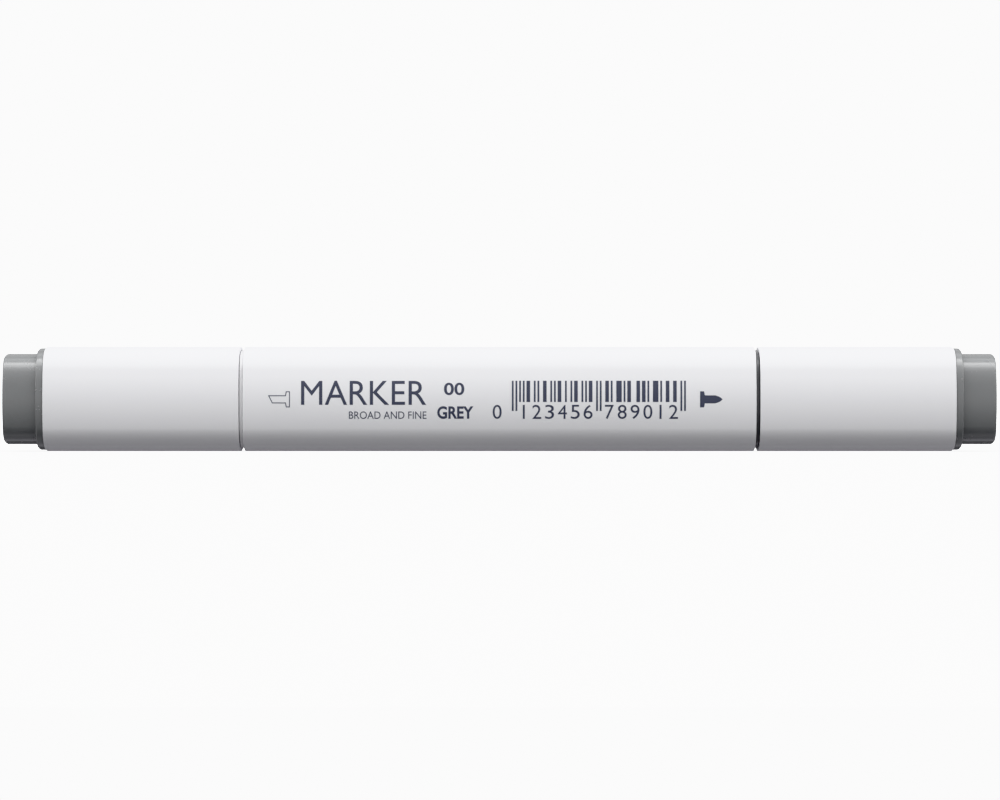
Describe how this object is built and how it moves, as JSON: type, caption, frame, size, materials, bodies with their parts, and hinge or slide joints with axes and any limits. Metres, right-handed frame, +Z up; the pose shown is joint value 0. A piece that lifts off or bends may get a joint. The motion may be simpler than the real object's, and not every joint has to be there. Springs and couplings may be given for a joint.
{
  "type": "felt tip marker",
  "caption": "Square-bodied alcohol marker with a chisel nib and a fine nib at opposite ends, each under a pull-off cap with a stepped grey end plug.",
  "frame": {"origin": "on the surface the marker lies on, under the middle of the barrel; the marker's long axis runs 7.9 mm above it", "axes": "+X along the marker, from the broad end to the fine end; the printed face looks towards -Y; +Z up"},
  "size_m": [0.149, 0.0158, 0.0158],
  "materials": {
    "white_plastic": "satin",
    "grey_plastic": "satin",
    "dark_plastic": "gloss",
    "pale_plastic": "satin",
    "milky_plastic": "satin",
    "stained_felt": "matte",
    "ink_fibre": "matte",
    "clear_film": "gloss"
  },
  "bodies": {
    "barrel": {"barrel": "white_plastic", "reservoir_core": "ink_fibre", "reservoir_film": "clear_film", "broad_nose": "pale_plastic", "chisel_nib": "stained_felt", "fine_nose": "dark_plastic", "fine_nib": "stained_felt"},
    "broad_cap": {"broad_cap_shell": "white_plastic", "broad_cap_liner": "milky_plastic", "broad_cap_plug": "grey_plastic"},
    "fine_cap": {"fine_cap_shell": "white_plastic", "fine_cap_liner": "milky_plastic", "fine_cap_plug": "grey_plastic"}
  },
  "joints": [
    {"name": "broad_cap_pull", "type": "slide", "parent": "barrel", "child": "broad_cap", "axis": [-1, 0, 0], "range_m": [0, 0.04]},
    {"name": "fine_cap_pull", "type": "slide", "parent": "barrel", "child": "fine_cap", "axis": [1, 0, 0], "range_m": [0, 0.04]}
  ]
}
